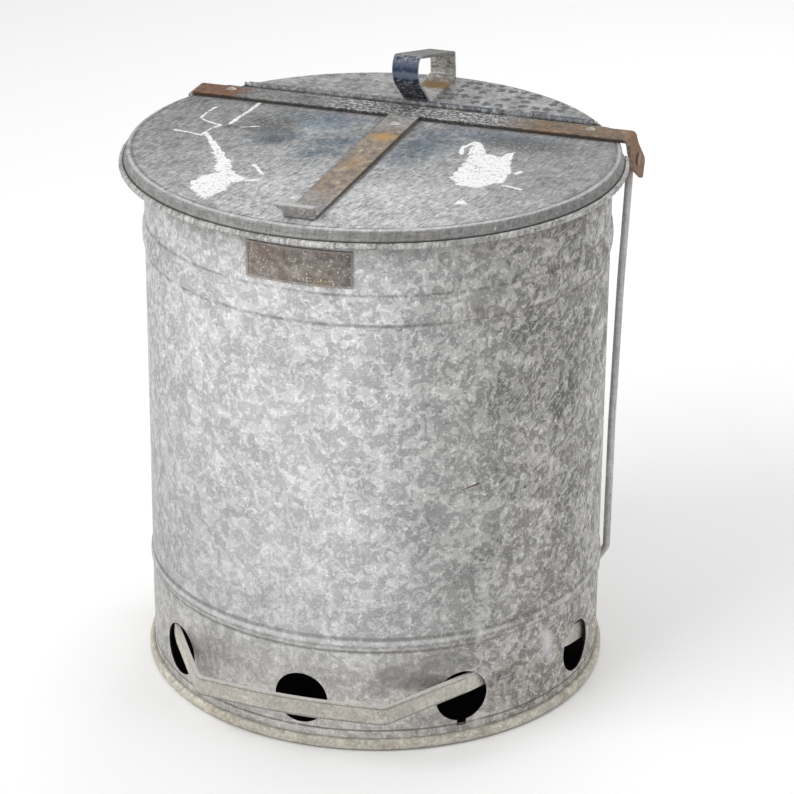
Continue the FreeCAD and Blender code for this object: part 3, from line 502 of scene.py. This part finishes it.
def lid_splashes(t):
    """Mask of the dried splashes on top, at their places seen from above."""
    edge = t.math("ADD", t.ragged(3.2 * MM, 12 * MM), t.ragged(1.3 * MM, 3 * MM))
    fine = t.math("ADD", t.ragged(1.3 * MM, 5 * MM), t.ragged(0.5 * MM, 2 * MM))
    splashes = t.any_of([
        t.patch([(-110, -138), (-102, -152), (-84, -171), (-75, -146), (-85, -102), (-100, -112)], edge),
        t.patch([(-88, -126), (-76, -128), (-70, -117), (-85, -106)], fine),
        t.trail([(-141, -23), (-128, -43)], 1.8, fine),
        t.trail([(-128, -43), (-112, -67)], 3.2, fine),
        t.trail([(-112, -67), (-103, -82)], 4.4, edge),
        t.trail([(-103, -82), (-94, -104)], 6.4, edge),
        t.trail([(-127, 64), (-128, 44), (-130, 24), (-131, 6)], 1.5, fine),
        t.trail([(-158, 42), (-160, 22), (-159, 11), (-151, 5), (-142, 1), (-136, 0), (-141, -11),
                 (-143, -28)], 1.0, fine),
        t.trail([(-119, 0), (-107, 7)], 0.8, fine),
        t.trail([(-170, -24), (-152, -27), (-142, -30)], 1.1, fine),
        t.patch([(80, -62), (92, -76), (106, -75), (121, -58), (122, -36), (112, -5), (97, 2),
                 (79, 2)], edge),
        t.patch([(76, -2), (90, 2), (86, 14), (76, 31), (72, 28)], fine),
        t.trail([(73, 28), (67, 12), (71, -3)], 1.6, fine),
        t.patch([(103, -8), (113, -4), (110, 14), (104, 9)], fine),
        t.trail([(124, -64), (139, -68)], 1.6, fine),
        t.patch([(100, -118), (110, -114), (102, -102)], fine),
        t.trail([(125, -34), (128, -29)], 2.2, fine),
        t.trail([(-76, -84), (-62, -102)], 1.5, fine),
        t.trail([(-68, -120), (-60, -115)], 2.0, fine),
    ])
    worn = t.remap(t.noise(2.4 * MM, 4.0, 0.72), 0.38, 0.45)
    on_top = t.remap(t.facing(UP), 0.6, 0.9)
    return t.times(splashes, worn, on_top)


def galvanized_lid():
    """The lid: brushed zinc with painted light and shade, stains, a worn edge and dried white splashes,
    and painted shade underneath.
    """
    t = Tree("galvanized_lid")
    value = spangle(t, 0.6, 0.8, 0.8)
    brushing = t.noise(1.3 * MM, 4.0, 0.65, 0.0, t.flat_place(), (1, 9, 1), LID_BRUSHING)
    coarse = t.noise(3.4 * MM, 4.0, 0.7, 0.0, t.flat_place(), (1, 4, 1), LID_BRUSHING)
    value = t.total((value, 0.9), (brushing, 2.3), (coarse, 1.8), (1.0, -1.95))
    value = t.math("MAXIMUM", value, 0.3)
    colour = lid_edge(t, lid_stains(t, lid_base(t, value), value), value)

    splashes = lid_splashes(t)
    specks = t.times(t.remap(t.noise(2.3 * MM, 3.0, 0.6), 0.66, 0.70),
                     t.remap(t.noise(60 * MM, 3.0, 0.6), 0.42, 0.58), 0.7)
    colour = t.mix(t.math("MAXIMUM", splashes, specks), colour, SPLASH_WHITE)
    # painted shade on the faces that look down
    under = t.remap(t.facing(DOWN), 0.5, 0.8)
    colour = t.mix(t.times(under, 0.7), colour, t.tint(grey(0.20, 0.06), value))
    roughness = t.remap(splashes, 0.0, 1.0, 0.56, 0.8)
    return t.finish(colour, roughness, 0.12, value, 0.05 * MM)


def galvanized_cover():
    """The fixed rear cover: dark spots, more on the right, and dirt along the hinge."""
    t = Tree("galvanized_cover")
    across = t.part_of("X")
    along = t.part_of("Y")
    value = spangle(t, 0.6, 0.8, 0.8)
    tone = t.curve(across, (-160 * MM, 0.30), (0, 0.30), (60 * MM, 0.30), (160 * MM, 0.25))
    colour = t.tint(tone, t.tint(grey(1.0, 0.002), value))
    bent = t.total((t.noise(14 * MM, 3.0, 0.6), 5 * MM), (across, 1.0))
    cells = t.local(t.combined(bent, along), BLACK, (10.5 * MM, 12.5 * MM, 1))
    cell = t.add("ShaderNodeTexVoronoi", {"Vector": cells, "Scale": 1.0, "Randomness": 0.6},
                 voronoi_dimensions="2D")
    near = t.math("ADD", cell.outputs["Distance"], t.ragged(0.42, 3 * MM))
    spots = t.times(t.remap(near, 0.42, 0.32), t.remap(cell.outputs["Color"], 0.22, 0.34))
    where = t.times(t.remap(across, 0.0, 25 * MM, 0.5, 1.0), t.remap(across, 150 * MM, 115 * MM))
    colour = t.mix(t.times(spots, where, 0.9), colour, grey(0.045, -0.04))
    ridge = t.band(along, HINGE_Y, 3.0 * MM, 1.5 * MM)
    grimy = t.times(ridge, t.remap(t.noise(4 * MM, 5.0, 0.72), 0.45, 0.55), 0.8)
    colour = t.mix(grimy, colour, grey(0.09, -0.03))
    low_ridge = t.band(along, HINGE_Y - 0.6 * MM, 0.7 * MM, 0.8 * MM)
    blue = t.times(low_ridge, t.band(across, 84 * MM, 78 * MM, 12 * MM),
                   t.remap(t.noise(4 * MM, 5.0, 0.7), 0.42, 0.50), 0.8)
    colour = t.mix(blue, colour, (0.05, 0.08, 0.12))
    return t.finish(colour, 0.56, 0.12, value, 0.05 * MM)


def pivot_zinc():
    """The pedal's pivot pins: dull zinc with brown specks."""
    t = Tree("pivot_zinc")
    value = spangle(t, 0.55, 0.8)
    colour = t.tint(grey(0.40, 0.06), value)
    specks = t.remap(t.noise(4 * MM, 5.0, 0.7), 0.58, 0.66)
    colour = t.mix(specks, colour, (0.17, 0.12, 0.08))
    return t.finish(colour, 0.6, 0.2, value, 0.06 * MM)


def hoop_zinc():
    """The foot hoop: warm grey with brown patches, and dark lines at its edges and along its middle."""
    t = Tree("hoop_zinc")
    height = t.part_of("Z")
    value = spangle(t, 0.6, 0.8, 1.0, 0.7)
    colour = t.tint((0.50, 0.475, 0.41), value)
    patches = t.remap(t.noise(20 * MM, 7.0, 0.74), 0.53, 0.60)
    colour = t.mix(t.times(patches, 0.45), colour, (0.30, 0.215, 0.15))
    darkening = t.any_of([t.remap(height, HOOP_TOP - 0.9 * MM, HOOP_TOP - 0.2 * MM),
                     t.times(t.remap(height, 2.6 * MM, 1.0 * MM), 0.6),
                     t.times(t.band(height, 10.2 * MM, 0.3 * MM, 0.6 * MM), 0.5)])
    colour = t.mix(t.times(darkening, 0.75), colour, (0.08, 0.06, 0.045))
    return t.finish(colour, 0.6, 0.15, value, 0.06 * MM)


def pedal_zinc():
    """The pedal bar: warm grey, with painted highlights on its top edges, two painted shade lines in
    front and painted shade on its inside.
    """
    t = Tree("pedal_zinc")
    height = t.part_of("Z")
    value = spangle(t, 0.6, 0.8, 1.0, 0.55)
    in_front = t.remap(t.part_of("Y"), -185 * MM, -195 * MM)
    colour = t.tint(t.mix(in_front, (0.505, 0.48, 0.43), (0.425, 0.405, 0.36)), value)
    specks = t.remap(t.noise(3 * MM, 5.0, 0.7), 0.60, 0.66)
    colour = t.mix(t.times(specks, 0.5), colour, (0.15, 0.115, 0.08))
    # painted highlight on the faces that look up
    above = t.remap(t.facing(UP), 0.6, 0.9)
    colour = t.mix(t.times(above, 0.6), colour, grey(0.66, 0.02))
    outside = t.remap(t.part_of("Y"), -140 * MM, -150 * MM)
    # painted shade lines across the front
    lines = t.math("MAXIMUM", t.band(height, PEDAL_LINES[0], 0.6 * MM, 0.8 * MM),
                   t.band(height, PEDAL_LINES[1], 0.3 * MM, 0.5 * MM))
    colour = t.mix(t.times(lines, outside, 0.55), colour, grey(0.09, 0.06))
    # painted shade on the faces that look back towards the wall
    behind = t.remap(t.facing(REAR), 0.3, 0.6)
    colour = t.mix(t.times(behind, 0.5), colour, grey(0.14, 0.06))
    return t.finish(colour, 0.58, 0.2, value, 0.06 * MM)


def rusty_bar():
    """The crossbar: worn steel, speckled in the middle, brown rust on the left and ochre on the right,
    and a painted shadow along its front face.
    """
    t = Tree("rusty_bar")
    across = t.part_of("X")
    height = t.part_of("Z")
    value = spangle(t, 0.5, 0.9, 1.2, 1.3)
    steel = t.tint(grey(0.165, 0.012), value)
    middle = t.band(across, 10 * MM, 66 * MM, 30 * MM)
    dark = t.times(t.remap(t.noise(4.5 * MM, 5.0, 0.72), 0.50, 0.55), middle, 0.85)
    steel = t.mix(dark, steel, grey(0.04, -0.02))
    pale = t.times(t.remap(t.noise(3.0 * MM, 5.0, 0.72), 0.52, 0.56), middle, 0.9)
    steel = t.mix(pale, steel, grey(0.52, 0.01))
    rust_tone = t.noise(6 * MM, 7.0, 0.75)
    brown = t.ramp(rust_tone, (0.3, (0.055, 0.026, 0.015)), (0.5, (0.145, 0.068, 0.036)),
                   (0.7, (0.24, 0.135, 0.075)))
    ochre = t.ramp(rust_tone, (0.36, (0.05, 0.034, 0.024)), (0.48, (0.13, 0.092, 0.052)),
                   (0.58, (0.25, 0.125, 0.045)), (0.70, (0.34, 0.27, 0.19)))
    frayed = t.math("ADD", across, t.ragged(12 * MM, 16 * MM))
    colour = t.mix(t.remap(frayed, -140 * MM, -156 * MM), steel, brown)
    colour = t.mix(t.times(t.remap(frayed, 84 * MM, 116 * MM), 0.85), colour, ochre)
    ear = t.remap(t.math("ABSOLUTE", across), BAR_HIGH.x - 5.5 * MM, BAR_HIGH.x - 3 * MM)
    ear_rust = t.ramp(rust_tone, (0.3, (0.09, 0.045, 0.025)), (0.5, (0.20, 0.105, 0.055)),
                      (0.72, (0.33, 0.20, 0.11)))
    colour = t.mix(ear, colour, ear_rust)
    worn = t.times(t.remap(t.facing(FRONT), 0.5, 0.8), ear)
    colour = t.mix(t.times(worn, 0.8), colour, t.tint(grey(0.24, 0.05), value))
    # painted shadow: the bar's front face made near black
    front = t.times(t.remap(t.facing(FRONT), 0.6, 0.9), t.math("SUBTRACT", 1.0, ear),
                    t.band(height, BAR_HIGH.z - 3.6 * MM, 2.6 * MM, 0.5 * MM))
    colour = t.mix(t.times(front, 0.85), colour, (0.022, 0.017, 0.013))
    return t.finish(colour, 0.72, 0.1, rust_tone, 0.25 * MM)


def rusty_strap():
    """The lid's strap: worn steel with rust in its middle, painted shade on its sides and a clean tab."""
    t = Tree("rusty_strap")
    along = t.part_of("Y")
    value = spangle(t, 0.45, 0.9)
    steel = t.tint(grey(0.27, 0.02), value)
    rust_tone = t.noise(7 * MM, 7.0, 0.74, 0.3, None, (1, 1.8, 1))
    rust = t.ramp(rust_tone, (0.34, (0.06, 0.044, 0.030)), (0.46, (0.15, 0.113, 0.075)),
                  (0.56, (0.28, 0.19, 0.105)), (0.68, (0.50, 0.42, 0.33)))
    frayed = t.math("ADD", along, t.ragged(10 * MM, 14 * MM))
    patch = t.times(t.remap(frayed, 36 * MM, 20 * MM), t.remap(frayed, -168 * MM, -120 * MM))
    colour = t.mix(t.times(patch, 0.7), steel, rust)
    bright = t.any_of([
        t.blot((1, 6, LID_TOP), (15, 13, 30), 0, 0.3, 9, 0.6),
        t.times(t.blot((1, -62, LID_TOP), (10, 22, 30), 0, 0.5, 9, 0.8), 0.35),
    ])
    colour = t.mix(t.times(bright, 0.8), colour, (0.43, 0.245, 0.06))
    # painted shade on the side faces
    side = t.remap(t.math("ABSOLUTE", t.facing(RIGHT)), 0.6, 0.9)
    colour = t.mix(t.times(side, 0.6), colour, (0.06, 0.048, 0.036))
    tab = t.remap(along, STRAP_LOW.y + 8 * MM, STRAP_LOW.y + 4 * MM)
    colour = t.mix(tab, colour, t.tint(grey(0.30, 0.02), value))
    lip = t.times(tab, t.remap(t.part_of("Z"), STRAP_HIGH.z - 2.1 * MM, STRAP_HIGH.z - 1.1 * MM))
    colour = t.mix(t.times(lip, 0.6), colour, grey(0.56, 0.01))
    return t.finish(colour, 0.66, 0.12, rust_tone, 0.12 * MM)


def worn_blue():
    """The handle: blue paint on its front leg, worn and chipped, and bare stained steel elsewhere."""
    t = Tree("worn_blue")
    along = t.part_of("Y")
    height = t.part_of("Z")
    value = spangle(t, 0.4, 0.9)
    steel = t.tint(grey(0.43, 0.02), value)
    on_top = t.times(t.remap(height, HANDLE_MIDDLE, HANDLE_MIDDLE + 4 * MM),
                     t.remap(along, 84 * MM, 90 * MM))
    steel = t.mix(on_top, steel, t.tint(grey(0.155, 0.015), value))
    brown = t.times(t.remap(t.noise(5 * MM, 5.0, 0.7), 0.51, 0.58),
                    t.remap(along, 146 * MM, 170 * MM), 0.85)
    steel = t.mix(brown, steel, (0.15, 0.10, 0.045))
    floor = t.times(t.remap(height, HANDLE_FLOOR + 1.5 * MM, HANDLE_FLOOR),
                    t.remap(along, 112 * MM, 120 * MM))
    frayed = t.math("ADD", along, t.ragged(5 * MM, 12 * MM))
    ochre = t.times(floor, t.band(frayed, 157 * MM, 7 * MM, 6 * MM), 0.9)
    steel = t.mix(ochre, steel, (0.24, 0.15, 0.045))
    tone = t.noise(4 * MM, 6.0, 0.7)
    dark = t.ramp(tone, (0.35, (0.006, 0.008, 0.018)), (0.55, (0.014, 0.020, 0.045)),
                  (0.75, (0.05, 0.065, 0.10)))
    light = t.ramp(tone, (0.34, (0.010, 0.018, 0.045)), (0.52, (0.026, 0.043, 0.082)),
                   (0.66, (0.10, 0.135, 0.19)))
    blue = t.mix(t.remap(height, HANDLE_MIDDLE, HANDLE_MIDDLE + 12 * MM), dark, light)
    sheen = t.band(t.math("ADD", height, t.ragged(1.5 * MM, 10 * MM)), 487 * MM, 1.6 * MM, 2.5 * MM)
    blue = t.mix(t.times(sheen, 0.6), blue, (0.24, 0.30, 0.38))
    leg = t.times(t.remap(along, 118 * MM, 113 * MM), t.remap(height, 457.0 * MM, 458.5 * MM),
                  t.math("SUBTRACT", 1.0, on_top))
    edge = t.remap(t.math("ABSOLUTE", t.facing(RIGHT)), 0.6, 0.9)
    chips = t.times(t.remap(t.noise(2.8 * MM, 5.0, 0.72, 0.4, None, (1, 1, 1.8)), 0.53, 0.57),
                    t.band(height, 471 * MM, 9 * MM, 6 * MM), 0.8)
    brow = t.times(t.remap(height, 497 * MM, 501 * MM),
                   t.remap(t.noise(2.2 * MM, 5.0, 0.7), 0.47, 0.55), 0.6)
    bare = t.any_of([chips, t.times(edge, 0.75), brow])
    paint = t.times(leg, t.math("SUBTRACT", 1.0, bare))
    colour = t.mix(paint, steel, blue)
    return t.finish(colour, t.remap(paint, 0.0, 1.0, 0.6, 0.42), 0.12, paint, 0.08 * MM)


def brown_plate():
    """The bare plate under the rim: tarnished brown with a pale raised border and white specks."""
    t = Tree("brown_plate")
    across = t.part_of("X")
    height = t.part_of("Z")
    tone = t.noise(7 * MM, 7.0, 0.72)
    colour = t.ramp(tone, (0.34, (0.095, 0.078, 0.068)), (0.5, (0.20, 0.172, 0.152)),
                    (0.66, (0.33, 0.295, 0.265)))
    reddish = t.times(t.blot((-26, -188, 424), (22, 20, 12), 0, 0.4, 9, 0.9), 0.55)
    colour = t.mix(reddish, colour, (0.17, 0.105, 0.08))
    dark_end = t.times(t.remap(across, 24 * MM, 40 * MM), 0.45)
    colour = t.mix(dark_end, colour, (0.07, 0.058, 0.05))
    ochre = t.times(t.blot((18, -190, 405), (10, 20, 3), 0, 0.4, 6, 0.9), 0.5)
    colour = t.mix(ochre, colour, (0.27, 0.19, 0.09))
    border = t.any_of([t.band(height, PLATE_LOW.z + 1.0 * MM, 0.7 * MM, 0.4 * MM),
                       t.band(height, PLATE_HIGH.z - 1.0 * MM, 0.7 * MM, 0.4 * MM),
                       t.remap(across, PLATE_LOW.x + 2.2 * MM, PLATE_LOW.x + 1.6 * MM),
                       t.remap(across, PLATE_HIGH.x - 2.2 * MM, PLATE_HIGH.x - 1.6 * MM)])
    colour = t.mix(t.times(border, 0.45), colour, (0.33, 0.29, 0.26))
    specks = t.remap(t.noise(1.9 * MM, 2.0, 0.5), 0.63, 0.66)
    colour = t.mix(t.times(specks, 0.8), colour, (0.55, 0.52, 0.48))
    return t.finish(colour, 0.55, 0.15, tone, 0.1 * MM)


def plain_steel(name, tone, warmth):
    """Dull steel of a wire or rivet."""
    t = Tree(name)
    value = spangle(t, 0.4, 0.7, 1.0, 0.8)
    return t.finish(t.tint(grey(tone, warmth), value), 0.5, 0.35, value, 0.04 * MM)


def rod_steel():
    """Drawn rod: pale dull shank, dark and rusty at the hook."""
    t = Tree("rod_steel")
    height = t.part_of("Z")
    value = spangle(t, 0.4, 0.6)
    lengthwise = t.noise(1.0 * MM, 3.0, 0.6, 0.0, None, (1, 1, 30))
    value = t.total((value, 0.6), (lengthwise, 1.0), (1.0, -0.1))
    colour = t.tint(grey(0.46, 0.012), value)
    spots = t.times(t.remap(t.noise(5 * MM, 5.0, 0.7), 0.58, 0.66), 0.4)
    colour = t.mix(spots, colour, (0.20, 0.15, 0.10))
    hook = t.remap(t.math("ADD", height, t.ragged(3 * MM, 8 * MM)), 405 * MM, 422 * MM)
    colour = t.mix(t.times(hook, 0.9), colour, (0.19, 0.11, 0.062))
    return t.finish(colour, 0.5, 0.3, value, 0.04 * MM)


# ---------------------------------------------------------------- materials on the solids
def smooth(mesh_object, split_degrees):
    """Shades a piece smooth, with creases where its faces meet at more than an angle."""
    for face in mesh_object.data.polygons:
        face.use_smooth = True
    mesh_object.modifiers.new("edges", "EDGE_SPLIT").split_angle = math.radians(split_degrees)


def dress(nodes, material):
    for node in nodes:
        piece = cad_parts[node]
        piece.data.materials.clear()
        piece.data.materials.append(material)
        smooth(piece, 25)


lid_zinc = galvanized_lid()
dress(["body_shell"], galvanized_body())
dress(["bottom_pan"], shaded_pan())
dress(["base_hoop"], hoop_zinc())
dress(["rear_cover"], galvanized_cover())
dress(["front_lid"], lid_zinc)
dress(["pedal_bar"], pedal_zinc())
dress(["crossbar"], rusty_bar())
dress(["lid_strap"], rusty_strap())
dress(["carry_handle"], worn_blue())
dress(["label_plate"], brown_plate())
dress(["foot_wire", "hinge_pin", "lid_rim_wire"], plain_steel("wire_steel", 0.30, 0.05))
dress(["rear_cover_rivets", "handle_rivets", "lid_strap_rivet", "pivot_spacers"],
      plain_steel("rivet_steel", 0.50, 0.04))
dress(["crossbar_rivets"], plain_steel("bar_rivet_steel", 0.30, 0.08))
dress(["lift_rod_left", "lift_rod_right"], rod_steel())
dress(["pedal_pivot_left", "pedal_pivot_right"], pivot_zinc())


# ---------------------------------------------------------------- the fold under the lid's edge
FOLD_STEPS = 160                # round the front, from one end of the flange to the other


def lid_fold():
    """Strip that closes the groove above the bead, round the front as far as the flange goes."""
    # corners of the strip's section: radius and height in millimetres
    section = [(200.8, 448.0), (201.5, 446.0), (202.8, 444.1), (202.5, 443.0), (201.5, 444.0)]
    widest = max(radius for radius, height in section) * MM
    half_sweep = 90 + math.degrees(math.asin((LID_REAR - LID_Y) / widest))
    mesh = bmesh.new()
    rings = []
    for step in range(FOLD_STEPS + 1):
        angle = math.radians(-half_sweep + 2 * half_sweep * step / FOLD_STEPS)
        across, along = math.sin(angle) * MM, -math.cos(angle) * MM
        rings.append([mesh.verts.new((LID_X + across * radius, LID_Y + along * radius, height * MM))
                      for radius, height in section])
    for ring, following in zip(rings, rings[1:]):
        for index in range(-1, len(section) - 1):
            mesh.faces.new((ring[index], ring[index + 1], following[index + 1], following[index]))
    mesh.faces.new(rings[0])
    mesh.faces.new(rings[-1][::-1])
    bmesh.ops.recalc_face_normals(mesh, faces=mesh.faces)
    data = bpy.data.meshes.new("lid_fold")
    mesh.to_mesh(data)
    mesh.free()
    piece = bpy.data.objects.new("lid_fold", data)
    bpy.context.scene.collection.objects.link(piece)
    data.materials.append(lid_zinc)
    smooth(piece, 40)
    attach(piece, "lid")


lid_fold()


# ---------------------------------------------------------------- floor, light and camera
FLOOR_SIDE = 12
FLOOR_GAP = 0.2 * MM            # keeps the floor clear of the hoop's underside
WORLD_LIGHT = 0.62


def make_floor():
    """Pale floor with a painted shadow: dark only in the hidden disc under the can, as it looks through
    the vent holes.
    """
    bpy.ops.mesh.primitive_plane_add(size=FLOOR_SIDE, location=(0, 0, -FLOOR_GAP))
    floor = bpy.context.object
    floor.name = "floor"
    t = Tree("pale_floor")
    from_axis = t.vector_math("LENGTH", t.flat_place()).outputs["Value"]
    # painted shadow in the disc under the can
    shadow_under_can = t.remap(from_axis, WALL - 4.5 * MM, WALL - 10.5 * MM)
    floor.data.materials.append(t.finish(t.mix(shadow_under_can, grey(0.93), grey(0.004)), 0.9, 0.0))


def soft_light(name, azimuth, elevation, distance, side, power):
    """Square light that faces the middle of the can: degrees, metres and watts; azimuth 0 is in front."""
    turn = math.radians(azimuth)
    rise = math.radians(elevation)
    away = Vector((math.sin(turn) * math.cos(rise), -math.cos(turn) * math.cos(rise), math.sin(rise)))
    light = bpy.data.lights.new(name, "AREA")
    light.shape = "SQUARE"
    light.size = side
    light.energy = power
    lamp = bpy.data.objects.new(name, light)
    bpy.context.scene.collection.objects.link(lamp)
    lamp.location = (LOW + HIGH) / 2 + away * distance
    lamp.rotation_euler = away.to_track_quat("Z", "Y").to_euler()


def make_world():
    world = bpy.data.worlds.new("studio")
    bpy.context.scene.world = world
    world.use_nodes = True
    background = world.node_tree.nodes["Background"]
    background.inputs["Color"].default_value = (1.0, 1.0, 1.0, 1)
    background.inputs["Strength"].default_value = WORLD_LIGHT


def make_camera():
    """Camera at the photograph's viewing angle, with the picture's middle shifted off the lens axis."""
    camera = bpy.data.objects.new("camera", bpy.data.cameras.new("camera"))
    bpy.context.scene.collection.objects.link(camera)
    back = CAMERA_RIGHT.cross(CAMERA_UP).normalized()
    up = back.cross(CAMERA_RIGHT).normalized()
    right = up.cross(back)
    turn = Matrix((right, up, back)).transposed()
    camera.matrix_world = Matrix.Translation(CAMERA_PLACE) @ turn.to_4x4()
    camera.data.sensor_width = SENSOR
    camera.data.lens = FOCAL_PIXELS * SENSOR / IMAGE_SIDE
    camera.data.shift_x = 0.5 - AXIS_PIXEL[0] / IMAGE_SIDE
    camera.data.shift_y = AXIS_PIXEL[1] / IMAGE_SIDE - 0.5
    camera.data.clip_end = 50
    bpy.context.scene.camera = camera


make_floor()
make_world()
soft_light("key", -38, 38, 2.6, 1.8, 42)
soft_light("fill", 75, 20, 3.0, 2.0, 10)
soft_light("back", 170, 45, 2.6, 1.8, 22)
make_camera()
bpy.context.scene.view_settings.view_transform = "Standard"
